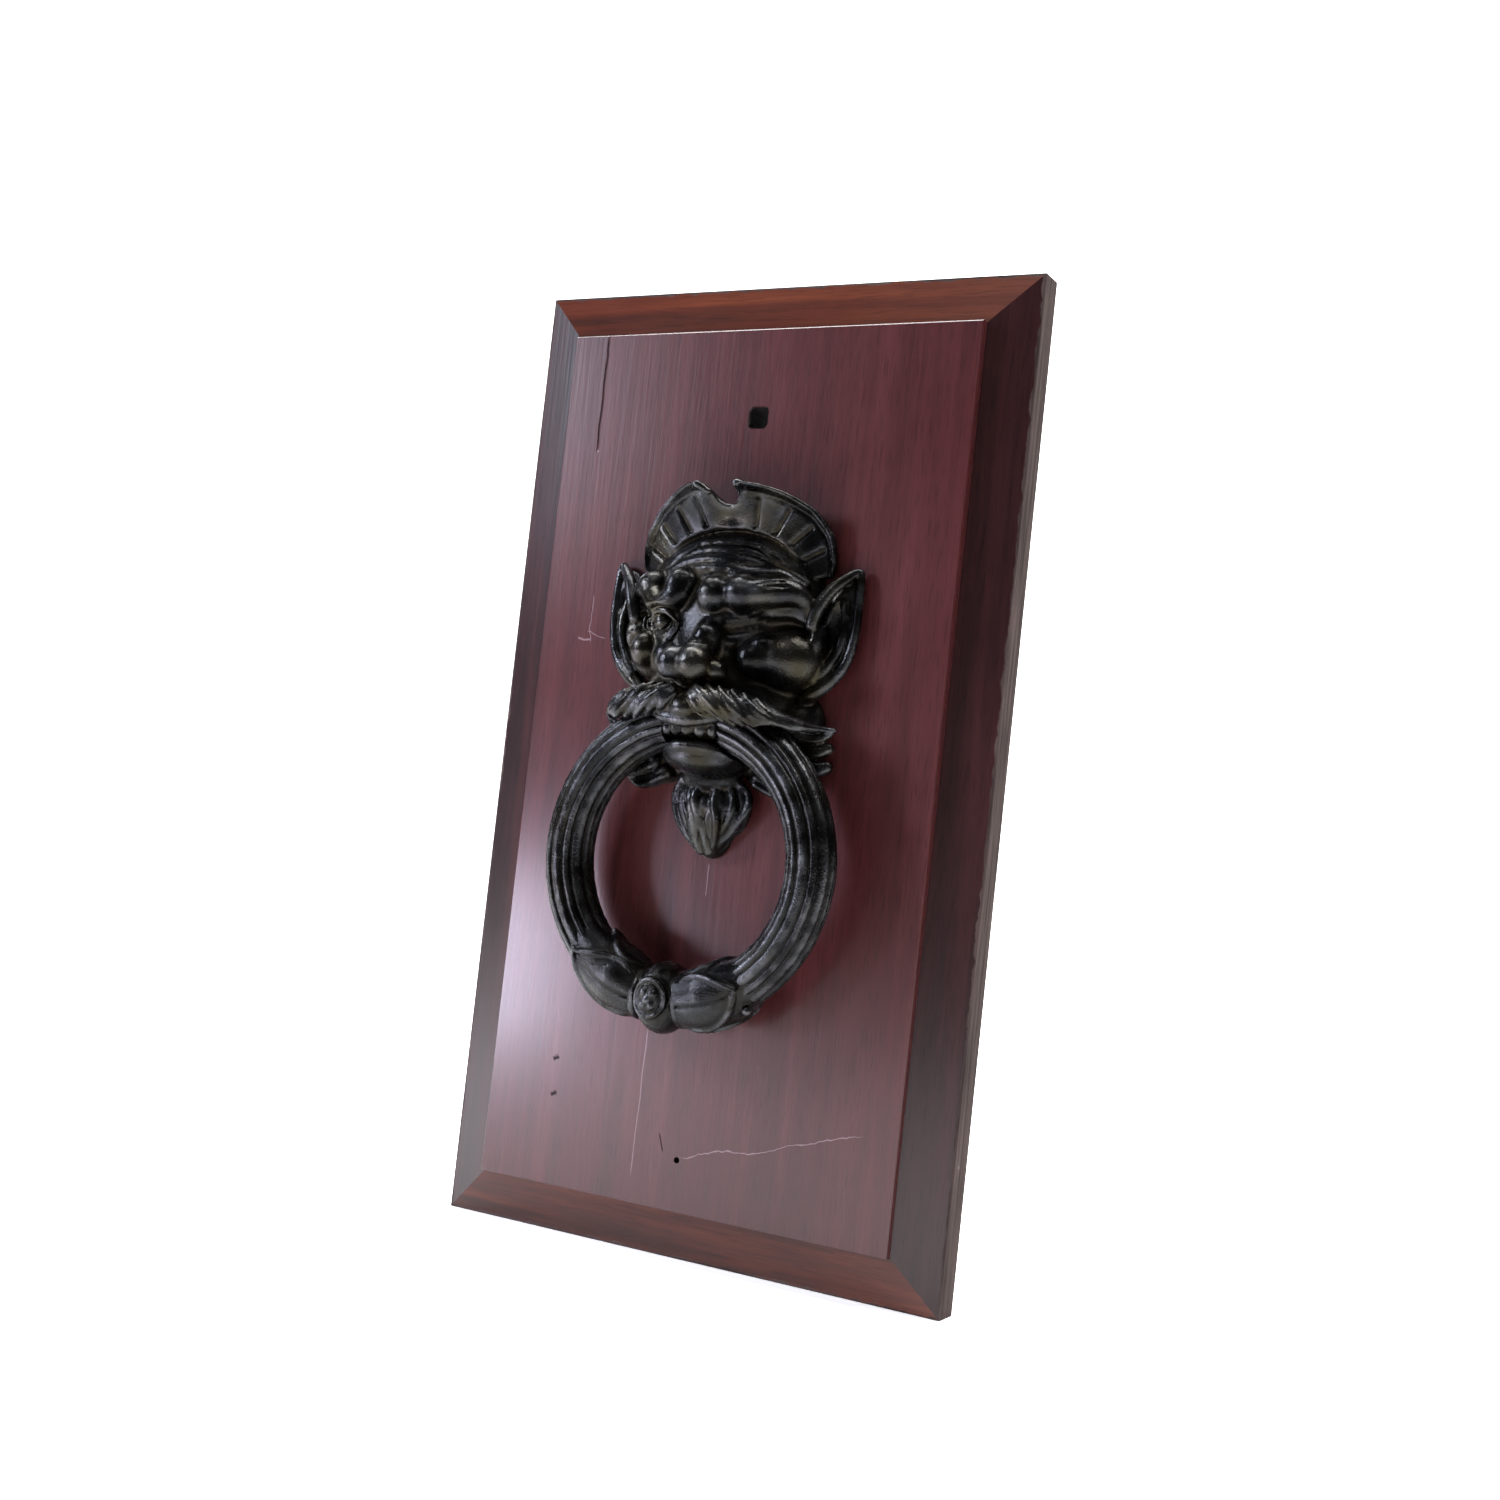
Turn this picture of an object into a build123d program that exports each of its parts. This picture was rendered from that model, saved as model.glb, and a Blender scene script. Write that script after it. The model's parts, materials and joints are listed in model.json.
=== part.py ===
"""A ring door knocker: a grotesque mask cast in iron, holding a reeded ring in its mouth,
bolted to a raised and framed mahogany board.

Frame: +Z up, +X to the right of someone facing the knocker, the front faces -Y.
The origin is the centre of the board's back face. All sizes are in millimetres.
"""
from build123d import *
import math
import os

os.makedirs("parts", exist_ok=True)

# ---------------------------------------------------------------- board
board_width = 300.0
board_height = 522.0
border_width = 26.2            # face of each mitred border, edge to panel
edge_thickness = 15.6          # border at its outer edge
border_inner_thickness = 22.9  # border where it meets the panel
panel_thickness = 27.6         # the panel stands proud of its border
panel_arris = 0.6
tongue_length = 6.0
tongue_thickness = 6.0
tongue_back = 5.0              # back of the tongue above the back face
groove_slack = 0.4             # end room for the tongue in its groove
spline_length = 15.0           # across the mitre
spline_depth = 11.0            # along the mitre
spline_thickness = 2.5
spline_wall = 2.5              # wood left outside each spline

# ---------------------------------------------------------------- holes left in the board
bolt_hole_side = 12.0          # square hole for a coach bolt
bolt_hole_corner = 3.0
bolt_hole_inset = 74.6         # from the board's top edge
screw_hole_radius = 1.7
screw_hole_inset = 53.0        # from the board's bottom edge

# ---------------------------------------------------------------- ring
ring_radius = 72.0             # to the middle of the bar
bar_radius = 13.0
ring_stand_off = 24.0          # middle of the bar, out from the panel
ball_radius = 19.5
bud_radius = 17.0
bud_length = 33.0
bud_angle = 25.0               # round the ring from the ball
ring_end_gap = 0.5             # each end face to the tongue of the mask

# ---------------------------------------------------------------- pivot
pivot_z = 21.0
pin_radius = 4.0
pin_running_clearance = 0.05
pin_blind_depth = 16.0         # in the left arm of the ring
pin_end_inset = 1.5            # filed flush, just inside the ring's outer edge
tongue_half_width = 16.0
lug_radius = 11.0

# ---------------------------------------------------------------- mask
head_height_z = 78.0
head_radius = 62.0
head_set_back = 31.0           # centre of the head's sphere, behind the panel face
jaw_radius = 50.0
jaw_set_back = 24.0
jaw_z = 58.0
ring_clearance = 1.5           # lips and teeth to the bar of the ring
pocket_width = 46.0            # hollow in the back of the casting
pocket_height = 36.0
pocket_depth = 18.0
pocket_z = 62.0
pocket_corner = 8.0
crest_centre_z = 82.0
crest_rim_radius = 65.0
crest_root_radius = 52.0
crest_rim_out = 36.0
crest_foot_z = 92.0
crest_notch_radius = 12.0

# ---------------------------------------------------------------- fixings
stud_radius = 4.0              # M8
stud_hole_clearance = 0.5
stud_grip = 11.0               # engaged in the mask
upper_stud_z = 100.0
lower_stud_z = -22.0
counterbore_radius = 11.5
counterbore_depth = 13.0
washer_radius = 9.5
washer_thickness = 1.6
nut_across_flats = 13.0
nut_height = 6.5
stud_end_recess = 2.0
anvil_head_radius = 9.0
anvil_head_height = 3.0
anvil_shank_radius = 2.5
anvil_shank_length = 16.0

# ---------------------------------------------------------------- worked out from the above
panel_width = board_width - 2 * border_width
panel_height = board_height - 2 * border_width
panel_face = -panel_thickness
ring_plane = panel_face - ring_stand_off
ring_centre_z = pivot_z - ring_radius
ring_bottom_z = ring_centre_z - ring_radius
ring_half_gap = tongue_half_width + ring_end_gap
ring_front = ring_stand_off + bar_radius
bolt_hole_z = board_height / 2 - bolt_hole_inset
screw_hole_z = screw_hole_inset - board_height / 2
stud_places = (upper_stud_z, lower_stud_z)

saved = []


def save(name, shape):
    """Write one sub-part, and keep it for the last check."""
    shape.label = name
    export_step(shape, f"parts/{name}.step")
    saved.append((name, shape))


def box(low, high):
    """A box between two corners."""
    size = [b - a for a, b in zip(low, high)]
    centre = [(a + b) / 2 for a, b in zip(low, high)]
    return Pos(*centre) * Box(*size)


def rod(start, end, radius):
    """A round bar between two points."""
    axis = Vector(*end) - Vector(*start)
    plane = Plane(origin=start, z_dir=axis.normalized())
    return plane * Cylinder(radius, axis.length, align=(Align.CENTER, Align.CENTER, Align.MIN))


def taper(start, end, start_radius, end_radius):
    """A round bar that tapers between two points."""
    axis = Vector(*end) - Vector(*start)
    plane = Plane(origin=start, z_dir=axis.normalized())
    cone = Cone(start_radius, end_radius, axis.length, align=(Align.CENTER, Align.CENTER, Align.MIN))
    return plane * cone


def ball(x, out, z, radius):
    """A ball whose centre stands out from the panel face."""
    return Pos(x, panel_face - out, z) * Sphere(radius)


def proud(x, out, z):
    """A point that stands out from the panel face."""
    return (x, panel_face - out, z)


def join(shapes):
    """One solid from several that overlap."""
    total = shapes[0]
    for shape in shapes[1:]:
        total = total + shape
    return total


def mirrored(shape):
    """The same shape on the other side of the middle plane."""
    return mirror(shape, about=Plane.YZ)


# ---------------------------------------------------------------- board pieces
def square_hole():
    outline = RectangleRounded(bolt_hole_side, bolt_hole_side, bolt_hole_corner)
    plane = Plane(origin=(0, 1, bolt_hole_z), x_dir=(1, 0, 0), z_dir=(0, -1, 0))
    return extrude(plane * outline, panel_thickness + 2)


def make_panel():
    """The board that carries everything, with a tongue all round."""
    body = box((-panel_width / 2, panel_face, -panel_height / 2), (panel_width / 2, 0, panel_height / 2))
    front = body.faces().sort_by(Axis.Y)[0]
    body = chamfer(front.edges(), panel_arris)
    reach_x = panel_width / 2 + tongue_length
    reach_z = panel_height / 2 + tongue_length
    tongue_front = -(tongue_back + tongue_thickness)
    body = body + box((-reach_x, tongue_front, -reach_z), (reach_x, -tongue_back, reach_z))
    body = body - square_hole()
    body = body - rod((0, 1, screw_hole_z), (0, panel_face - 1, screw_hole_z), screw_hole_radius)
    for z in stud_places:
        body = body - rod((0, 1, z), (0, panel_face - 1, z), stud_radius + stud_hole_clearance)
        body = body - rod((0, 1, z), (0, -counterbore_depth, z), counterbore_radius)
    anvil_end = panel_face + anvil_shank_length
    body = body - rod((0, panel_face - 1, ring_bottom_z), (0, anvil_end, ring_bottom_z), anvil_shank_radius)
    return body


def border_blank(length):
    """A straight length of border, lying along X with its outer edge at z = 0."""
    groove = tongue_length + groove_slack
    groove_front = -(tongue_back + tongue_thickness)
    points = [
        (0, 0),
        (0, -edge_thickness),
        (border_width, -border_inner_thickness),
        (border_width, groove_front),
        (border_width - groove, groove_front),
        (border_width - groove, -tongue_back),
        (border_width, -tongue_back),
        (border_width, 0),
    ]
    outline = Polyline([(-length / 2, y, -u) for u, y in points], close=True)
    return extrude(make_face(outline), length, dir=(1, 0, 0))


def mitre_wedge(length):
    """Keeps a blank between its two mitres."""
    inner = length / 2 - border_width
    corners = [(-length / 2, 0), (length / 2, 0), (inner, -border_width), (-inner, -border_width)]
    outline = Polyline([(x, 1, z) for x, z in corners], close=True)
    return extrude(make_face(outline), panel_thickness + 2, dir=(0, -1, 0))


def spline_places():
    """The middle of each corner's spline, on the mitre."""
    setback = spline_length / 2 + spline_wall * math.sqrt(2)
    inset = (setback + spline_depth / 2) / math.sqrt(2)
    x = board_width / 2 - inset
    z = board_height / 2 - inset
    return [(x, z), (-x, z), (-x, -z), (x, -z)]


def make_splines():
    """One hardwood feather across each mitre."""
    middle_y = -edge_thickness / 2
    splines = []
    for x, z in spline_places():
        turn = -45 if x * z > 0 else 45
        feather = Box(spline_depth, spline_thickness, spline_length)
        splines.append(Pos(x, middle_y, z) * Rot(0, turn, 0) * feather)
    return splines


def make_borders(splines):
    """Four mitred borders, each with half of two spline slots."""
    borders = {}
    turns = {"top": 0, "right": 90, "bottom": 180, "left": 270}
    for side, turn in turns.items():
        level = side in ("top", "bottom")
        length = board_width if level else board_height
        reach = board_height / 2 if level else board_width / 2
        blank = border_blank(length) & mitre_wedge(length)
        piece = Rot(0, turn, 0) * (Pos(0, 0, reach) * blank)
        for spline in splines:
            piece = piece - spline
        borders[side] = piece
    return borders


# ---------------------------------------------------------------- ring and pivot
def ring_frame():
    """The ring's own plane, its axis along Y."""
    return Pos(0, ring_plane, ring_centre_z) * Rot(90, 0, 0)


def ring_bar(radius):
    """The whole round bar of the ring, as a torus."""
    return ring_frame() * Torus(ring_radius, radius)


def make_bud(side):
    """A closed bud on the bar, fatter in the middle than at its ends."""
    end_radius = bar_radius
    half = bud_length / 2
    bulge = bud_radius
    profile = make_face(
        ThreePointArc((-half, end_radius), (0, bulge), (half, end_radius))
        + Polyline((half, end_radius), (half, 0), (-half, 0), (-half, end_radius))
    )
    bud = revolve(profile, Axis.X)
    angle = side * bud_angle
    x = ring_radius * math.sin(math.radians(angle))
    z = ring_centre_z - ring_radius * math.cos(math.radians(angle))
    return Pos(x, ring_plane, z) * Rot(0, -angle, 0) * bud


def make_ring():
    """The ring, open at the top where the mask's tongue comes between its ends."""
    body = ring_bar(bar_radius)
    body = body + Pos(0, ring_plane, ring_bottom_z) * Sphere(ball_radius)
    for side in (-1, 1):
        body = body + make_bud(side)
    gap_reach = bar_radius + 5
    gap_low = (-ring_half_gap, ring_plane - gap_reach, pivot_z - gap_reach)
    gap_high = (ring_half_gap, ring_plane + gap_reach, pivot_z + gap_reach)
    body = body - box(gap_low, gap_high)
    return body - pin_bar()


def pin_bar():
    """The drilled hole's shape: blind in the left arm, out through the right arm."""
    left = -(ring_half_gap + pin_blind_depth)
    return rod((left, ring_plane, pivot_z), (ring_radius, ring_plane, pivot_z), pin_radius)


def make_pin():
    """The pin is filed off where it comes out of the right arm."""
    edge = ring_radius + bar_radius - pin_end_inset
    return pin_bar() & (ring_frame() * Cylinder(edge, 2 * bar_radius))


# ---------------------------------------------------------------- mask
def crest():
    """The cap: an upright arch that flares forward, bent round the forehead, with a notch on top."""
    rim = Pos(0, panel_face - crest_rim_out / 2, crest_centre_z) * Rot(90, 0, 0)
    flare = rim * Cone(crest_root_radius, crest_rim_radius, crest_rim_out)
    bend_radius = (crest_rim_radius ** 2 + crest_rim_out ** 2) / (2 * crest_rim_out)
    bend = Pos(0, panel_face - crest_rim_out + bend_radius, crest_centre_z)
    flare = flare & (bend * Cylinder(bend_radius, 2 * crest_rim_radius))
    flare = flare & box((-200, panel_face - 100, crest_foot_z), (200, panel_face, 300))
    notch_place = Pos(0, panel_face, crest_centre_z + crest_rim_radius)
    return flare - notch_place * Rot(90, 0, 0) * Cylinder(crest_notch_radius, 4 * crest_rim_out)


def ear():
    """The right ear: a pointed leaf, hollowed in front, its outer edge near the board."""
    edge = make_face(
        ThreePointArc((42, 34), (66, 62), (74, 104))
        + ThreePointArc((74, 104), (56, 97), (42, 72))
        + Line((42, 72), (42, 34))
    )
    plane = Plane(origin=(0, panel_face, 0), x_dir=(1, 0, 0), z_dir=(0, -1, 0))
    blade = extrude(plane * edge, 30)
    slab = Box(100, 40, 100, align=(Align.CENTER, Align.MAX, Align.CENTER))
    slope = Pos(78, panel_face - 4, 70) * Rot(0, 0, 25) * slab
    hollow = Pos(60, panel_face - 19, 78) * Sphere(11)
    return blade - slope - hollow


def bar_top(x):
    """Height of the top of the ring's bar, at rest."""
    return ring_centre_z + math.sqrt(ring_radius ** 2 - x ** 2) + bar_radius


def brow():
    """The right brow, a heavy ridge that drops at its outer end."""
    inner = proud(8, 27, 87)
    middle = proud(27, 26, 86)
    outer = proud(47, 17, 83)
    return [
        ball(8, 27, 87, 8.9),
        taper(inner, middle, 8.5, 8),
        ball(27, 26, 86, 8.4),
        taper(middle, outer, 8, 6),
        ball(47, 17, 83, 6.4),
    ]


def cheek():
    """The right cheek, a round bulge."""
    return [ball(37, 8, 57, 19)]


def whiskers():
    """The right half of the moustache over the bar, and the curl of side beard behind its end."""
    root = proud(6, ring_front + 5, bar_top(6) + 1.2)
    bend = proud(34, ring_front + 4, bar_top(34) + 8)
    tip = proud(62, 9, 25)
    curl_root = proud(42, 1, 22)
    curl_tip = proud(66, 4, 11)
    return [
        ball(6, ring_front + 5, bar_top(6) + 1.2, 7.4),
        taper(root, bend, 7, 6),
        ball(34, ring_front + 4, bar_top(34) + 8, 6.4),
        taper(bend, tip, 6, 4),
        ball(62, 9, 25, 4.4),
        taper(curl_root, curl_tip, 8, 5),
        ball(66, 4, 11, 5.4),
    ]


def nose():
    """The bridge, the tip and both wings."""
    return [
        taper(proud(0, 27, 84), proud(0, 38, 52), 7, 9),
        ball(0, 41.5, 49, 11),
        ball(13, 35, 47, 7.5),
        ball(-13, 35, 47, 7.5),
    ]


def upper_lip():
    """The lip over the ring, with a row of teeth in front of the bar."""
    behind = ring_stand_off + bar_radius + ring_clearance
    parts = [box(proud(-15, 45, 24), proud(15, behind, 40))]
    width = 5.2
    for index in (-2, -1, 0, 1, 2):
        middle = index * (width + 0.4)
        low = proud(middle - width / 2, behind + 4, 12)
        high = proud(middle + width / 2, behind, 25)
        parts.append(box(low, high))
    return parts


def jaw():
    """The lower lip, chin and goatee, which pass through the ring."""
    lip_z = pivot_z - bar_radius - ring_clearance - 7
    chin_z = lip_z - 9
    return [
        rod(proud(-11, 27, lip_z), proud(11, 27, lip_z), 6.5),
        ball(-11, 27, lip_z, 6.5),
        ball(11, 27, lip_z, 6.5),
        box(proud(-11, 27, lip_z - 6), proud(11, 1, lip_z + 5)),
        ball(0, 12, chin_z, 15),
        taper(proud(0, 13, chin_z), proud(0, 5, -48), 17, 4),
        ball(0, 5, -48, 4),
    ]


def beard_root():
    """The flat of the beard behind the ring, from cheek to chin."""
    thickness = ring_stand_off - bar_radius - ring_clearance
    right = [(50, 44), (56, 14), (36, -6), (24, -26), (16, -34)]
    left = [(-x, z) for x, z in reversed(right)]
    plane = Plane(origin=(0, panel_face, 0), x_dir=(1, 0, 0), z_dir=(0, -1, 0))
    return extrude(plane * make_face(Polyline(right + left, close=True)), thickness)


def pivot_lug():
    """The tongue in the mouth, which carries the pin between the ends of the ring."""
    axis_left = (-tongue_half_width, ring_plane, pivot_z)
    axis_right = (tongue_half_width, ring_plane, pivot_z)
    stem = box(
        (-tongue_half_width, ring_plane, pivot_z - lug_radius),
        (tongue_half_width, panel_face, pivot_z + lug_radius),
    )
    return rod(axis_left, axis_right, lug_radius) + stem


def back_pocket():
    """The hollow behind the eyes and nose, open to the board."""
    outline = RectangleRounded(pocket_width, pocket_height, pocket_corner)
    plane = Plane(origin=(0, panel_face, pocket_z), x_dir=(1, 0, 0), z_dir=(0, -1, 0))
    return extrude(plane * outline, pocket_depth)


def make_mask():
    """The cast head: one piece, pocketed at the back, tapped for its two studs."""
    head = ball(0, -head_set_back, head_height_z, head_radius)
    face = ball(0, -jaw_set_back, jaw_z, jaw_radius)
    right = brow() + cheek() + whiskers() + [ear()]
    parts = [head, face, beard_root(), crest()]
    parts += nose() + right + [mirrored(shape) for shape in right]
    body = join(parts + upper_lip() + [pivot_lug()] + jaw())
    body = body - box((-200, panel_face, -200), (200, panel_face + 200, 300))
    body = body - back_pocket()
    bore = pin_radius + pin_running_clearance
    body = body - rod((-ring_radius, ring_plane, pivot_z), (ring_radius, ring_plane, pivot_z), bore)
    for z in stud_places:
        body = body - rod((0, 0, z), proud(0, stud_grip, z), stud_radius)
    return body


# ---------------------------------------------------------------- fixings
def make_studs():
    studs = []
    for z in stud_places:
        studs.append(rod((0, -stud_end_recess, z), proud(0, stud_grip, z), stud_radius))
    return studs


def make_washers():
    washers = []
    seat = -counterbore_depth
    for z in stud_places:
        disc = rod((0, seat, z), (0, seat + washer_thickness, z), washer_radius)
        washers.append(disc - rod((0, 0, z), (0, -panel_thickness, z), stud_radius + stud_hole_clearance))
    return washers


def make_nuts():
    nuts = []
    seat = -counterbore_depth + washer_thickness
    hexagon = RegularPolygon(nut_across_flats / 2, 6, major_radius=False)
    for z in stud_places:
        plane = Plane(origin=(0, seat, z), x_dir=(1, 0, 0), z_dir=(0, 1, 0))
        nut = extrude(plane * hexagon, nut_height)
        nuts.append(nut - rod((0, 0, z), (0, -panel_thickness, z), stud_radius))
    return nuts


def make_anvil():
    """The domed stud that the ring's ball strikes."""
    middle = (0, panel_face, ring_bottom_z)
    dome_radius = (anvil_head_radius ** 2 + anvil_head_height ** 2) / (2 * anvil_head_height)
    dome = ball(0, anvil_head_height - dome_radius, ring_bottom_z, dome_radius)
    inside_board = rod(middle, (0, panel_face + 3 * dome_radius, ring_bottom_z), 2 * dome_radius)
    shank_end = (0, panel_face + anvil_shank_length, ring_bottom_z)
    return (dome - inside_board) + rod(middle, shank_end, anvil_shank_radius)


splines = make_splines()
save("raised_panel", make_panel())
for side_name, border in make_borders(splines).items():
    save(f"{side_name}_border", border)
save("mitre_splines", Compound(children=splines))
save("mask_casting", make_mask())
save("knocker_ring", make_ring())
save("pivot_pin", make_pin())
save("mask_studs", Compound(children=make_studs()))
save("stud_washers", Compound(children=make_washers()))
save("stud_nuts", Compound(children=make_nuts()))
save("anvil_stud", make_anvil())

for name, shape in saved:
    print(name, len(shape.solids()), round(shape.volume), shape.is_valid)
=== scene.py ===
import json
import math

import bmesh
import bpy
import numpy as np
from mathutils import Euler, Matrix, Vector


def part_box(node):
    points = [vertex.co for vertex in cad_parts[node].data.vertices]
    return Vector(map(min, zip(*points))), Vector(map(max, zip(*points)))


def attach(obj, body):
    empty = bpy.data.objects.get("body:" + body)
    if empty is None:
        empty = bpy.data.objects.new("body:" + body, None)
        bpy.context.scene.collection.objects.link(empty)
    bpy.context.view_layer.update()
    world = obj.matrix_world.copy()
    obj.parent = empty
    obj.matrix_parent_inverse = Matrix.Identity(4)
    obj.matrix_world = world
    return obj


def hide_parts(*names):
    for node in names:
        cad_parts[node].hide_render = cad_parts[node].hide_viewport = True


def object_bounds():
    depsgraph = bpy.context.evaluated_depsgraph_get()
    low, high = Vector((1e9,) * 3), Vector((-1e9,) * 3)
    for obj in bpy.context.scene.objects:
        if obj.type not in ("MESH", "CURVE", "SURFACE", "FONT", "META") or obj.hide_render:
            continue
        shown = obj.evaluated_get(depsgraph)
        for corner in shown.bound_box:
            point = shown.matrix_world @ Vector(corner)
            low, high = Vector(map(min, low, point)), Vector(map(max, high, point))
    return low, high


# An old door knocker: a goblin's mask of sand-cast iron that holds a reeded ring in its mouth, bolted to a
# raised mahogany board with a mitred moulding round it. Lengths in this file are millimetres, and every mesh
# is turned to metres as it is made. On the mask, "out" is how far a point stands in front of the board.

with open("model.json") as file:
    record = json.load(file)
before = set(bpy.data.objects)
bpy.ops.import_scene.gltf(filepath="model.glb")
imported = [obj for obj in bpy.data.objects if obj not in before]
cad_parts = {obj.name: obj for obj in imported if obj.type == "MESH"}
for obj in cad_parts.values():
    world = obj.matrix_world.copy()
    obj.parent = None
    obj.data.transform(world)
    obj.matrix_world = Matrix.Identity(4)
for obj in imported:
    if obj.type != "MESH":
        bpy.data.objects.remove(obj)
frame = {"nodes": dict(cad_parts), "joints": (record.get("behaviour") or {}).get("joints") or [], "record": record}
cad_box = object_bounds()

MM = 0.001
PANEL_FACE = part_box("raised_panel")[0].y / MM
JOINT = frame["joints"][0]
PIVOT_OUT = PANEL_FACE - JOINT["pos_m"][1] / MM
PIVOT_Z = JOINT["pos_m"][2] / MM
RING_RADIUS = 72.0
BAR_RADIUS = 13.0
RING_Z = PIVOT_Z - RING_RADIUS
TONGUE_HALF_WIDTH = 16.0
RING_GAP_HALF = 16.5
FOOT_Z = RING_Z - RING_RADIUS
CASTING_STEP = 0.9


# ---------------------------------------------------------------- carving a casting

def smooth_line(points, steps=8):
    """Points along a smooth curve through the given ones."""
    p = np.array(points, np.float32)
    p = np.vstack([2 * p[0] - p[1], p, 2 * p[-1] - p[-2]])
    t = np.linspace(0, 1, steps, endpoint=False, dtype=np.float32)[:, None]
    runs = []
    for a, b, c, d in zip(p[:-3], p[1:-2], p[2:-1], p[3:]):
        runs.append(
            b + 0.5 * t * (c - a + t * (2 * a - 5 * b + 4 * c - d + t * (3 * (b - c) + d - a)))
        )
    return np.vstack([*runs, p[-2:-1]])


def egg(centre, radii, turn=(0, 0, 0)):
    """An egg-shaped lump, as its lowest corner, its highest corner and its distance at any place."""
    centre = np.array(centre, np.float32)
    radii = np.array(radii, np.float32)
    spin = np.array(Euler([math.radians(t) for t in turn]).to_matrix(), np.float32)
    reach = np.sqrt((spin**2) @ radii**2)

    def distance(x, out, z):
        near = 0
        steep = 0
        for axis in range(3):
            along = (
                spin[0, axis] * (x - centre[0])
                + spin[1, axis] * (out - centre[1])
                + spin[2, axis] * (z - centre[2])
            )
            near = near + (along / radii[axis]) ** 2
            steep = steep + (along / radii[axis] ** 2) ** 2
        near = np.sqrt(near)
        return near * (near - 1) / np.maximum(np.sqrt(steep), 1e-5)

    return centre - reach, centre + reach, distance


def strand(points, thickness, steps=5):
    """A round strand along a smooth curve. thickness is its radius at each given point."""
    line = smooth_line(points, steps)
    places = np.linspace(0, len(thickness) - 1, len(line))
    radius = np.interp(places, range(len(thickness)), thickness).astype(np.float32)
    widest = radius.max()

    def distance(x, out, z):
        nearest = None
        for a, b, ra, rb in zip(line[:-1], line[1:], radius[:-1], radius[1:]):
            run = b - a
            along = (x - a[0]) * run[0] + (out - a[1]) * run[1] + (z - a[2]) * run[2]
            along = np.clip(along / max(float(run @ run), 1e-6), 0, 1)
            off = np.sqrt(
                (x - a[0] - along * run[0]) ** 2
                + (out - a[1] - along * run[1]) ** 2
                + (z - a[2] - along * run[2]) ** 2
            )
            off = off - (ra + (rb - ra) * along)
            nearest = off if nearest is None else np.minimum(nearest, off)
        return nearest

    return line.min(0) - widest, line.max(0) + widest, distance


def sharpest(parts, soft):
    """Where all of several distances hold at once, with the corners between them rounded by soft."""
    whole = parts[0]
    for part in parts[1:]:
        overlap = np.maximum(soft - np.abs(whole - part), 0) / soft
        whole = np.maximum(whole, part) + overlap**2 * soft / 4
    return whole


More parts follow.
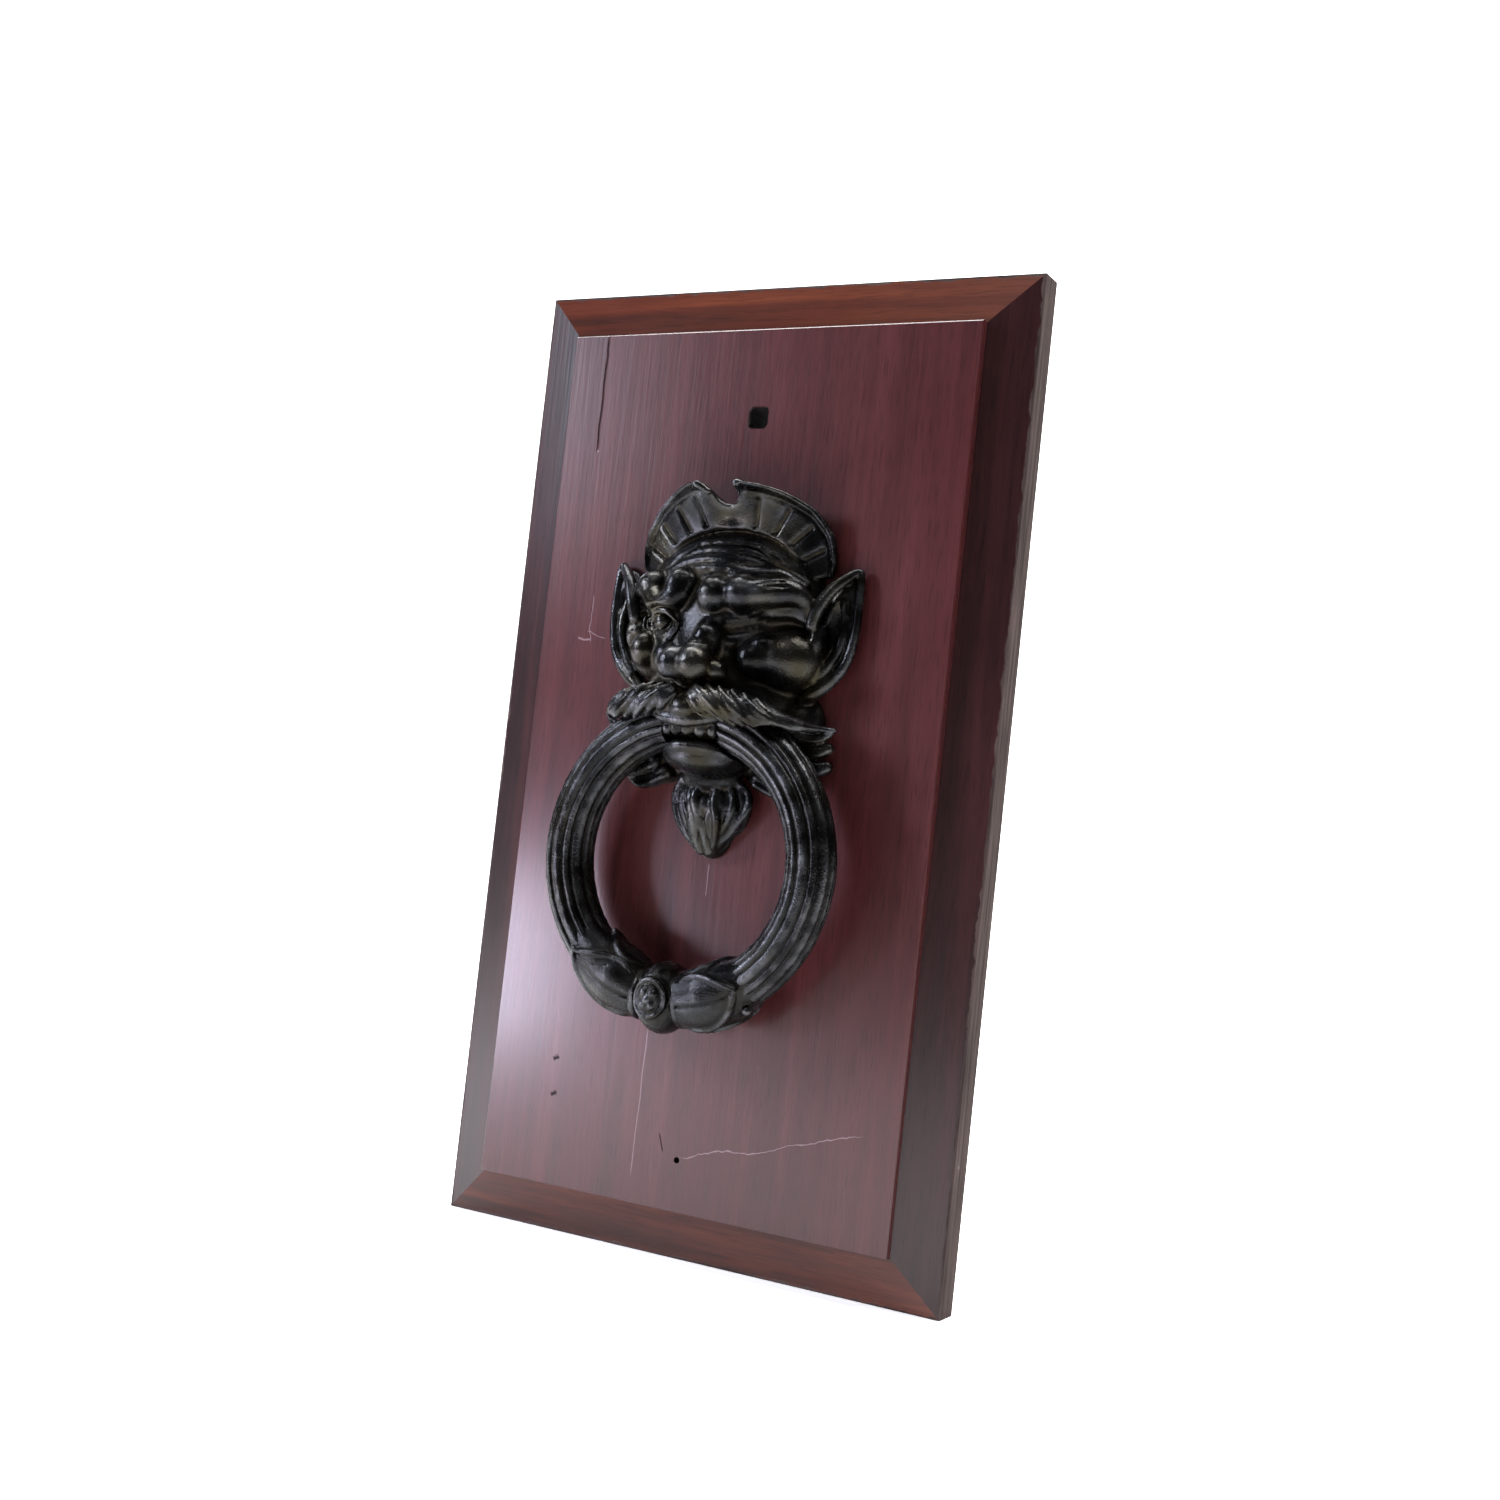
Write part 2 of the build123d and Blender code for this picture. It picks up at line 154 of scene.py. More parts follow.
class Pattern:
    """A founder's pattern, kept as the distance from its surface at each point of a grid."""

    def __init__(self, low, high, step):
        self.step = step
        self.lines = [np.arange(a, b + step, step, dtype=np.float32) for a, b in zip(low, high)]
        self.gap = np.full([len(line) for line in self.lines], 20.0, np.float32)

    def patch(self, low, high, margin):
        """The slice of the grid round a shape, and the places in it."""
        cut = []
        for line, a, b in zip(self.lines, low, high):
            first = max(int(np.searchsorted(line, a - margin)), 0)
            last = min(int(np.searchsorted(line, b + margin)), len(line))
            cut.append(slice(first, max(last, first + 1)))
        return tuple(cut), np.ix_(*[line[c] for line, c in zip(self.lines, cut)])

    def add(self, shape, soft=2.0):
        """Joins a shape to the casting with a fillet."""
        low, high, distance = shape
        cut, place = self.patch(low, high, soft + 1)
        old, new = self.gap[cut], distance(*place)
        near = np.maximum(soft - np.abs(old - new), 0) / soft
        self.gap[cut] = np.minimum(old, new) - near**2 * soft / 4

    def carve(self, shape, soft=1.0):
        """Cuts a shape out of the casting and rounds the edge that leaves."""
        low, high, distance = shape
        cut, place = self.patch(low, high, soft + 1)
        old, new = self.gap[cut], -distance(*place)
        near = np.maximum(soft - np.abs(old - new), 0) / soft
        self.gap[cut] = np.maximum(old, new) + near**2 * soft / 4

    def lumps(self, radius):
        """How far each grid point stands proud of what is round it: -1 in a crease, 1 on a ridge."""
        reach = max(int(round(radius / self.step)), 1)
        soft = np.clip(self.gap, -radius, radius)
        sharp = soft
        for axis in range(3):
            edge = [(0, 0)] * 3
            edge[axis] = (reach + 1, reach)
            total = np.cumsum(np.pad(soft, edge, mode="edge"), axis=axis, dtype=np.float32)
            size = soft.shape[axis]
            width = 2 * reach + 1
            soft = (
                np.take(total, range(width, width + size), axis=axis)
                - np.take(total, range(size), axis=axis)
            ) / width
        return (soft - sharp) / radius

    def skin(self):
        """The casting's surface as points and four-sided faces."""
        gap = self.gap
        solid = gap < 0
        corners = [(i, j, k) for i in (0, 1) for j in (0, 1) for k in (0, 1)]
        size = np.array(gap.shape) - 1

        def corner(grid, place):
            return grid[tuple(slice(p, p + s) for p, s in zip(place, size))]

        filled = sum(corner(solid, c).astype(np.int8) for c in corners)
        crossed = (filled > 0) & (filled < 8)
        cells = np.argwhere(crossed)
        number = np.full(crossed.shape, -1, np.int64)
        number[crossed] = np.arange(len(cells))
        value = {c: corner(gap, c)[crossed] for c in corners}
        total = np.zeros((len(cells), 3), np.float64)
        hits = np.zeros(len(cells))
        for a in corners:
            for axis in range(3):
                if a[axis]:
                    continue
                b = tuple(1 if n == axis else p for n, p in enumerate(a))
                hit = (value[a] < 0) != (value[b] < 0)
                share = value[a][hit] / (value[a][hit] - value[b][hit])
                point = np.tile(np.array(a, float), (hit.sum(), 1))
                point[:, axis] += share
                total[hit] += point
                hits[hit] += 1
        low = np.array([line[0] for line in self.lines])
        points = low + self.step * (cells + total / hits[:, None])
        faces = []
        for axis in range(3):
            u, v = (axis + 1) % 3, (axis + 2) % 3
            lead = [slice(1, -1)] * 3
            lead[axis] = slice(0, -1)
            next_on = list(lead)
            next_on[axis] = slice(1, None)
            here, there = solid[tuple(lead)], solid[tuple(next_on)]
            for starts_solid in (True, False):
                edge = np.argwhere((here == starts_solid) & (there != starts_solid))
                edge[:, u] += 1
                edge[:, v] += 1
                around = []
                for du, dv in ((-1, -1), (0, -1), (0, 0), (-1, 0)):
                    cell = edge.copy()
                    cell[:, u] += du
                    cell[:, v] += dv
                    around.append(number[tuple(cell.T)])
                if not starts_solid:
                    around.reverse()
                faces.append(np.stack(around, 1))
        return points, np.vstack(faces), cells


def new_piece(name, points, faces, smooth=True):
    """A mesh object from points in millimetres, in the board's own frame."""
    mesh = bpy.data.meshes.new(name)
    points = np.asarray(points, float) * MM
    mesh.from_pydata(points.tolist(), [], [list(map(int, f)) for f in faces])
    mesh.update()
    mesh.validate()
    if smooth:
        mesh.shade_smooth()
    piece = bpy.data.objects.new(name, mesh)
    bpy.context.scene.collection.objects.link(piece)
    return piece


def relax(values, faces, rounds):
    """Evens out values at a mesh's points by sharing each with its neighbours."""
    ends = np.vstack([faces[:, [0, 1]], faces[:, [1, 2]], faces[:, [2, 3]], faces[:, [3, 0]]])
    count = np.bincount(ends.ravel(), minlength=len(values))[:, None]
    for _ in range(rounds):
        total = np.zeros_like(values)
        for column in range(values.shape[1]):
            total[:, column] += np.bincount(ends[:, 0], values[ends[:, 1], column], len(values))
            total[:, column] += np.bincount(ends[:, 1], values[ends[:, 0], column], len(values))
        values = 0.5 * values + 0.5 * total / count
    return values


def cast_piece(name, pattern):
    """The casting as a mesh. Its attributes say where hands have rubbed it and where dirt stays."""
    points, faces, cells = pattern.skin()
    points = relax(points, faces, 1)
    proud, broad = (pattern.lumps(radius)[tuple(cells.T)][:, None] for radius in (2.4, 6.0))
    proud, broad = (relax(value, faces, 2)[:, 0] for value in (proud, broad))
    placed = np.column_stack([points[:, 0], PANEL_FACE - points[:, 1], points[:, 2]])
    piece = new_piece(name, placed, faces[:, ::-1])
    for label, value in (
        ("rubbed", proud * 3.0 + broad * 0.5),
        ("crevice", -proud * 3.0 - broad * 2.0),
    ):
        layer = piece.data.attributes.new(label, "FLOAT", "POINT")
        layer.data.foreach_set("value", np.clip(value, 0, 1).astype(np.float32))
    return piece


def drop_loose_bits(mesh):
    """Keeps a casting's outer skin only, without the air bubbles closed in between its locks."""
    left = set(mesh.verts)
    islands = []
    while left:
        island, edge = set(), [left.pop()]
        while edge:
            point = edge.pop()
            island.add(point)
            for link in point.link_edges:
                other = link.other_vert(point)
                if other in left:
                    left.remove(other)
                    edge.append(other)
        islands.append(island)
    islands.sort(key=len)
    loose = [point for island in islands[:-1] for point in island]
    bmesh.ops.delete(mesh, geom=loose, context="VERTS")


# ---------------------------------------------------------------- the mask

CAP_CENTRE_Z = 82.0
CAP_FLUTES = (19.0, 33.0, 46.0, 58.0)


def cap():
    """The flared and fluted cap: a brim that leans out over the forehead, with a rolled edge."""

    def distance(x, out, z):
        x, out, z = np.broadcast_arrays(x, out, z)
        side = np.degrees(np.arctan2(np.abs(x), z - CAP_CENTRE_Z))
        reach = np.hypot(x, z - CAP_CENTRE_Z)
        inner = np.interp(side, [0, 20, 46, 66, 80], [40.5, 42.0, 45.8, 47.6, 48.0])
        outer = np.interp(side, [0, 14, 28, 42, 54, 63, 70, 80], [65, 65, 68.5, 70.8, 69.5, 65.7, 61.5, 58])
        rim = np.interp(side, [0, 14, 28, 42, 52, 63, 80], [36, 35.5, 22, 11.5, 7, 5, 4])
        arc = np.interp(side, [0, 46, 66, 80], [18.5, 13, 9.5, 8])
        share = np.clip((reach - inner) / (outer - inner), 0, 1.1)
        front = arc + (rim - arc) * share**1.3
        front = front + 1.8 * np.exp(-(((share - 0.93) / 0.06) ** 2))
        front = front - 1.2 * np.exp(-(((share - 0.80) / 0.05) ** 2))
        front = front - 2.6 * np.exp(-((side / 13) ** 2)) * np.clip(share * 4, 0, 1)
        for flute in CAP_FLUTES:
            off = (side - flute) * math.radians(1) * reach
            length = np.clip((share - 0.06) / 0.06, 0, 1) * np.clip((0.74 - share) / 0.06, 0, 1)
            front = front - 2.3 * np.exp(-((off / 1.3) ** 2)) * length
        root = outer - 13.0 * rim / 36.0
        wall = root + (outer - root) * np.clip(out / np.maximum(rim, 1), 0, 1.2)
        return sharpest(
            [
                (out - front) * 0.8,
                (reach - wall) * 0.9,
                inner - reach,
                (side - 71.0) * math.radians(1) * reach,
                -out,
            ],
            1.6,
        ).astype(np.float32)

    return np.array([-66, 0, 95]), np.array([66, 40, 150]), distance


def mirrored(points):
    """The same points on the other side of the face."""
    return [(-x, out, z) for x, out, z in points]


def hair(pattern, first, last, count, thickness, soft=0.7, seed=1):
    """Locks of hair that fan from one guide curve to another, each a little out of line with the next."""
    rng = np.random.default_rng(seed)
    first, last = (smooth_line(g, 6) for g in (first, last))
    spots = np.linspace(0, 1, 7)
    first = np.column_stack([np.interp(spots, np.linspace(0, 1, len(first)), c) for c in first.T])
    last = np.column_stack([np.interp(spots, np.linspace(0, 1, len(last)), c) for c in last.T])
    for n in range(count):
        share = n / max(count - 1, 1)
        points = first + (last - first) * share
        points = points + rng.normal(0, 0.35, points.shape)
        points[:, 1] += 0.9 if n % 2 else 0.0
        width = np.array(thickness) * rng.uniform(0.85, 1.15)
        pattern.add(strand(points, width, 3), soft)


def sweep_of_the_ring(clearance):
    """The room the ring's two arms need as it lifts, which the mask stays out of."""
    angles = np.radians(np.linspace(-0.45, JOINT["range_deg"][1], 12))

    def distance(x, out, z):
        nearest = None
        for angle in angles:
            off, drop = out - PIVOT_OUT, z - PIVOT_Z
            deep = off * math.cos(angle) + drop * math.sin(angle)
            down = drop * math.cos(angle) - off * math.sin(angle)
            across = np.hypot(x, down + RING_RADIUS) - RING_RADIUS
            tube = np.hypot(across, deep) - BAR_RADIUS - clearance
            nearest = tube if nearest is None else np.minimum(nearest, tube)
        return np.maximum(nearest, RING_GAP_HALF - 0.6 - np.abs(x))

    return np.array([-90, -5, -75]), np.array([90, 90, 45]), distance


def carve_mask():
    """The whole mask, from the skull outwards."""
    mask = Pattern((-77, -1.2, -53), (77, 62, 151), CASTING_STEP)

    # skull, forehead and jaw
    mask.add(egg((0, -4, 84), (54, 31, 43)), 4)
    mask.add(egg((0, 0, 98), (49, 19, 27)), 6)
    mask.add(egg((0, -2, 34), (47, 28, 38)), 6)
    mask.add(egg((0, 10, 62), (30, 20, 26)), 8)
    mask.add(cap(), 0.8)
    mask.carve(strand([(1, 5, 144), (1, 50, 144)], (8.6, 8.6)), 3)
    mask.carve(egg((-9, 36, 150.5), (9, 22, 6.5), (0, -12, 0)), 3)
    mask.add(strand([(9.6, 27, 141.5), (10.6, 34, 143.4)], (1.8, 2.0)), 2)
    mask.add(strand([(-7.5, 30, 139.8), (-13, 33.5, 143)], (1.8, 2.0)), 2)
    for height, bow, width in ((115, 5, 33), (110, 4, 38), (104.5, 2, 38), (99.5, -1, 30)):
        line = [(-width, 0, height - bow - 5), (-width * 0.5, 0, height - 1), (0, 0, height)]
        mask.carve(groove(mask, line + mirrored(line[:2])[::-1], 1.1), 1.4)

    # brows: a knot in the middle, a long ridge on one side, a deep folded one on the other
    mask.add(egg((1.5, 27, 86.5), (9.5, 10, 9.8), (0, 12, 0)), 2)
    mask.add(egg((16.5, 26.5, 87.5), (10, 9, 9.2), (0, 20, 0)), 3)
    mask.add(strand([(24, 26, 87), (34, 25, 88.5), (44, 20, 89), (51, 12, 83)], (8, 8, 6.8, 4.5)), 2)
    mask.add(strand([(9, 22, 98), (20, 22, 98.5), (33, 18.5, 99), (45, 12, 94)], (3.2, 3.6, 3.4, 2.4)), 2.5)
    mask.add(strand([(18, 24, 79.5), (31, 23, 78.5), (43, 17.5, 79.5), (51, 12, 75)], (2.6, 3.2, 3, 2.2)), 4)
    mask.add(egg((-43.5, 12, 91.5), (11, 12, 9.5), (0, -20, 0)), 1.5)
    mask.add(egg((-21.5, 22, 91), (8.2, 12, 10.5), (0, 15, 0)), 1.5)
    fold = [(-51, 10, 93), (-42, 18, 87), (-32, 24, 80), (-22, 27, 85), (-16, 26, 93)]
    mask.add(strand(fold, (6, 6.6, 6.6, 7, 5.5)), 1.5)
    mask.add(strand([(-53, 9, 82), (-43, 16, 79), (-34, 20, 76.5)], (3, 3.4, 2.6)), 1.5)
    mask.carve(strand([(-11.5, 36, 100), (-10.5, 37, 90), (-10, 35, 79)], (1.6, 2.4, 1.8)), 2)
    for shift in (0, 2.8, 5.6):
        parting = [
            (27, 35.2 - shift * 0.6, 88 + shift),
            (36, 32.4 - shift * 0.7, 91 + shift),
            (44, 27 - shift, 91.5 + shift * 0.8),
        ]
        mask.carve(strand(parting, (0.5, 1.0, 0.5)), 0.8)

    # eyes: one stares out of its rings of lid, the other is screwed shut
    mask.carve(egg((-31, 28, 71.5), (13, 9, 8.5)), 3)
    mask.add(egg((-32.5, 17.5, 72), (6, 6.5, 5.6)), 0.8)
    for size, lift, thick in ((1.0, 0.0, 1.3), (1.38, 0.6, 1.3), (1.8, 0.2, 1.5)):
        lid = []
        for turn in range(160, 391, 33):
            angle = math.radians(turn)
            across, up = size * math.cos(angle), size * math.sin(angle)
            lid.append((-32 + 8 * across, 22.2 + lift + 3.4 * across * 0.9, 71.5 + 5.2 * up))
        mask.add(strand(lid, (thick * 0.6, thick, thick, thick * 0.6)), 0.8)
    upper_lid = [(-41, 17, 72), (-36, 22.5, 77), (-28, 25, 77), (-21, 24.5, 72)]
    mask.add(strand(upper_lid, (1.4, 1.8, 1.8, 1.2)), 0.8)
    mask.carve(egg((24, 30, 71.5), (16, 6, 4.5), (0, -14, 0)), 3)
    slit = [(9, 31, 65.5), (17, 31, 65), (26, 30, 67), (36, 25.5, 71.5), (43, 19, 72.5)]
    mask.carve(strand(slit, (1.0, 1.7, 1.8, 1.5, 0.8)), 1.5)
    for up in (0, 2.2, 4.6, 7.0):
        fold = [(8.5, 40, 67.5 + up), (15, 40, 67.8 + up), (23, 40, 69.6 + up * 1.1), (32, 40, 73.5 + up)]
        mask.carve(groove(mask, fold, 0.75), 0.8)
    mask.carve(groove(mask, [(11, 40, 60), (20, 40, 60.5), (31, 40, 65.5)], 0.8), 1)

    # cheeks: one great ball with smaller ones budding from it, the other folded in two
    mask.add(egg((38.5, 6, 56.5), (20.5, 22, 17.5), (0, 0, 0)), 2.5)
    mask.add(egg((25.5, 17, 54.5), (11, 14.5, 11)), 4)
    mask.add(egg((31, 20, 62), (7, 9, 6)), 3)
    mask.add(egg((-38, 3, 56), (19, 20, 16)), 2.5)
    mask.add(egg((-26, 16, 54), (10, 13, 11)), 4)
    mask.add(egg((-51.5, 8, 68), (7.6, 9.5, 8)), 0.8)
    mask.add(egg((-41.5, 17.5, 57), (9.6, 10, 10)), 0.8)

    # nose: a bent bridge and a bulb in two lobes, with wide wings
    mask.add(strand([(-1, 20, 82), (0, 22, 74), (2, 27, 65), (0, 33, 55)], (5, 5.5, 8, 9)), 3)
    mask.add(egg((2.5, 32, 64.5), (6.5, 7, 6)), 2)
    mask.add(egg((-3.5, 36, 48), (12.5, 14, 10.8)), 2)
    mask.add(egg((-9.8, 42.3, 48), (8.2, 9.2, 9)), 1.5)
    mask.add(egg((2.8, 42.6, 48.2), (9.2, 9.4, 9.6)), 1.5)
    mask.add(egg((11.8, 35, 45.6), (6.2, 7.5, 6.4)), 1.5)
    mask.add(egg((-15.5, 34, 48.6), (6.4, 7.5, 6.6)), 2)
    mask.carve(egg((7.5, 41, 39.5), (4, 4, 2.6)), 1.5)
    mask.carve(egg((-9, 41, 39.5), (4, 4, 2.6)), 1.5)
    mask.carve(strand([(18.5, 34, 62), (20, 35, 54), (22.5, 33, 46), (30, 29, 40)], (1, 1.8, 2.2, 1.4)), 2)
    mask.carve(strand([(-20, 34, 62), (-21.5, 35, 54), (-24, 33, 46), (-30, 29, 40)], (1, 1.8, 2.2, 1.4)), 2)

    # ears: pointed leaves with a rolled rim and a deep hollow
    for way in (1, -1):
        mask.add(egg((way * 61, 2, 72), (11.5, 6, 31), (0, way * 13, 0)), 2)
        mask.carve(egg((way * 63.5, 10.5, 76), (6.5, 7.5, 20), (0, way * 12, 0)), 1.5)
        rim = [(53.5, 15.5, 74), (56, 15.5, 83), (61, 12, 93), (67, 7.5, 100), (72, 4, 104), (73.2, 4.2, 98),
               (73.6, 4.8, 84), (73, 5, 70), (69.5, 5.2, 56), (62, 6, 46.5), (53, 7, 39.5), (49, 8, 37)]
        rim = [(way * x, out, z) for x, out, z in rim]
        mask.add(strand(rim, (3.2, 3.6, 3.4, 2.9, 1.9, 2.2, 2.3, 2.4, 2.8, 3.6, 4.2, 3)), 1.2)
        fold = [(65, 5.5, 88), (67, 6.6, 75), (66, 7.2, 64), (60.5, 8, 53), (55, 8.5, 46)]
        fold = [(way * x, out, z) for x, out, z in fold]
        mask.add(strand(fold, (1.0, 1.7, 2.0, 2.2, 1.6)), 2.5)
        mask.add(egg((way * 55.5, 9, 66), (4, 8, 9)), 2)

    # upper lip, teeth and the tongue that the ring's ends straddle
    mask.add(egg((0, 24, 26), (27, 22, 13)), 3)
    mask.add(egg((0, 38, 26), (17, 8.5, 8)), 3)
    mask.add(egg((0, 41.5, 25.5), (8.5, 7, 6.5)), 1.5)
    lip = [(-20, 37, 23), (-12, 42, 20.5), (0, 43, 19.2), (12, 42, 20.5), (20, 37, 23)]
    mask.add(strand(lip, (2.5, 3.2, 3.6, 3.2, 2.5)), 1.5)
    teeth = ((-13.2, 36.5, 3.2), (-7, 38.5, 3.6), (0, 39.3, 4.0), (7.2, 38.8, 3.8), (13.6, 37, 3.2))
    for x, out, wide in teeth:
        mask.add(egg((x, out - 2.5, 15.6), (wide, 4.2, 4.2)), 0.7)

    # lower lip, a heavy one
    mask.add(egg((1, 16, 1.5), (23, 20, 9.5)), 2)
    lip = [(-18, 27, 4.5), (-8, 33, 6.4), (3, 34, 6.6), (14, 31, 5.5), (21, 25, 3)]
    mask.add(strand(lip, (2.6, 3.4, 3.4, 3.2, 2.4)), 2.5)
    mask.add(egg((0, 6, -8), (17, 11, 8)), 4)

    # beard behind the ring: full locks that curl out at the jaw
    for way in (1, -1):
        mask.add(egg((way * 37, 0, 2), (23, 9, 15)), 3)
        mask.add(egg((way * 46, 0, 24), (14, 11, 16)), 3)
        locks = (
            ([(46, 13, 19), (55, 11, 17), (62, 9.5, 17), (66.5, 8, 20)], (3.6, 3.2, 2.6, 2.0)),
            ([(42, 8, 13.5), (52, 7.5, 11.5), (60, 7, 10.5), (65.5, 6, 12.5)], (4.5, 4.4, 4.2, 3.2)),
            ([(43, 7, 5), (52, 6, 3.5), (60, 5.5, 1.5), (65.5, 4.8, 3)], (4.5, 4.6, 4.4, 3.2)),
            ([(36, 8, -2), (45, 6, -5), (53, 5, -6.5), (59, 4.4, -5)], (5, 4.8, 4.2, 2.8)),
            ([(28, 7, -7), (37, 5.5, -11), (45, 4.5, -12.5), (50.5, 3.8, -11)], (4.5, 4.4, 3.8, 2.6)),
        )
        for points, thickness in locks:
            points = [(way * x, out, z) for x, out, z in points]
            mask.add(strand(points, thickness), 0.8)
            for shift, share in ((-0.42, 0.5), (0.42, 0.5)):
                ridge = [(x, out + t * 0.62, z + t * shift) for (x, out, z), t in zip(points, thickness)]
                mask.add(strand(ridge, [t * share for t in thickness]), 0.4)

    # goatee: three thick locks over a core, twisted to one tip
    mask.add(egg((1.5, 1, -23), (21, 10, 18)), 2)
    mask.add(egg((1, 0, -36), (12, 8.5, 14)), 2)
    mask.add(egg((0, 5, -22), (8, 10, 8)), 3)
    for side, tip in ((-1, -3), (1, 3)):
        inner = [
            (side * 4, 10, -11), (side * 6, 13, -20), (side * 3, 12, -30), (side * 5, 8, -39), (tip, 5, -47),
        ]
        outer = [
            (side * 17, 6, -9),
            (side * 23 + 1, 6, -18),
            (side * 19 + 1, 6, -29),
            (side * 12, 5, -38),
            (tip * 1.6, 3.5, -46),
        ]
        hair(mask, inner, outer, 6, (1.4, 1.9, 1.9, 1.7, 1.1), seed=11 + side)
    mask.add(strand([(8, 10, -9), (7, 13.5, -20), (9, 12.5, -32), (6, 8, -44)], (1.8, 2.4, 2.2, 1.3)), 0.7)
    lock = [(-2, 10, -10), (-5, 13.5, -19), (-1, 11, -32), (1, 5, -47.5)]
    mask.add(strand(lock, (2.2, 2.8, 2.4, 1.5)), 0.7)

    moustache(mask)

    mask.carve(sweep_of_the_ring(0.9), 0.8)
    mask.add(tongue(), 0.6)
    mask.gap = np.maximum(mask.gap, -(mask.lines[1][None, :, None]))
    return mask


def moustache(mask):
    """Two sweeps of hair, parted below the nose: a round core under locks that run down and outwards."""
    rng = np.random.default_rng(8)
    spots = [0, 4, 10, 20, 30, 40, 45, 50, 58, 67]
    top = [35, 36.5, 37.4, 37.2, 35.5, 32.5, 30, 27.6, 25, 23.5]
    foot = [32, 30, 24.5, 21, 18, 17, 17, 17.6, 20, 22]
    crown = [45, 46.8, 48.4, 48.2, 46.6, 44, 40.5, 34.5, 22.5, 8.6]
    for way in (1, -1):
        core, thickness = [], []
        for x in (4, 10, 20, 30, 40, 50, 58, 66):
            high, low, out = (np.interp(x, spots, line) for line in (top, foot, crown))
            half = (high - low) / 2
            core.append((way * x, out - 0.9 - half, (high + low) / 2))
            thickness.append(half)
        mask.add(strand(core, thickness), 1)
        count = 9
        for n in range(count):
            begin = -14 + 53 * n / (count - 1)
            run = 21 + 9 * n / (count - 1)
            points = []
            for drop in np.linspace(0.02, 1, 8):
                x = begin + run * drop**1.15
                if x < 3.4:
                    continue
                high, low, out = (np.interp(x, spots, line) for line in (top, foot, crown))
                half = (high - low) / 2
                sag = half * (1 - math.sqrt(max(1 - (1.9 * drop - 0.95) ** 2, 0)))
                points.append((way * x, out - 0.7 - sag, high + (low - high) * drop))
            if len(points) < 2:
                continue
            width = 2.5 * rng.uniform(0.88, 1.12)
            lift = 0.7 if n % 2 else 0.0
            points = [(x, out + lift, z) for x, out, z in points]
            mask.add(strand(points, (width * 0.6, width, width, width * 0.55), 4), 0.35)


def groove(pattern, line, radius):
    """A shallow groove along a line of (x, z) places, sunk where the surface now is."""
    line = smooth_line(line, 5)
    placed = []
    for x, out, z in line:
        i = int(np.argmin(np.abs(pattern.lines[0] - x)))
        k = int(np.argmin(np.abs(pattern.lines[2] - z)))
        column = np.nonzero(pattern.gap[i, :, k] < 0)[0]
        surface = pattern.lines[1][column[-1]] + pattern.step * 0.5 if len(column) else 0
        placed.append((x, surface + radius * 0.35, z))
    thickness = np.full(len(placed), radius)
    thickness[0] = thickness[-1] = radius * 0.4
    return strand(placed, thickness, 1)


def tongue():
    """The round tongue in the mouth that the pin goes through."""

    def distance(x, out, z):
        round_part = np.hypot(out - PIVOT_OUT, z - PIVOT_Z) - 10.9
        return np.maximum(round_part, np.abs(x) - TONGUE_HALF_WIDTH + 0.1)

    return (
        np.array([-TONGUE_HALF_WIDTH, PIVOT_OUT - 11, PIVOT_Z - 11]),
        np.array([TONGUE_HALF_WIDTH, PIVOT_OUT + 11, PIVOT_Z + 11]),
        distance,
    )


def make_mask():
    """The mask as a mesh, with its flat back closed by one face."""
    piece = cast_piece("mask_casting_carved", carve_mask())
    mesh = bmesh.new()
    mesh.from_mesh(piece.data)
    drop_loose_bits(mesh)
    back = PANEL_FACE * MM - 0.05 * MM
    flat = [f for f in mesh.faces if all(v.co.y > back for v in f.verts)]
    bmesh.ops.delete(mesh, geom=flat, context="FACES")
    open_edges = [e for e in mesh.edges if e.is_boundary]
    bmesh.ops.triangle_fill(mesh, edges=open_edges, use_beauty=False)
    bmesh.ops.recalc_face_normals(mesh, faces=mesh.faces)
    mesh.to_mesh(piece.data)
    mesh.free()
    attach(piece, "board")
    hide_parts("mask_casting")
    return piece


# ---------------------------------------------------------------- the ring

REEDS = 13
MEDALLION_TURN = -2.6


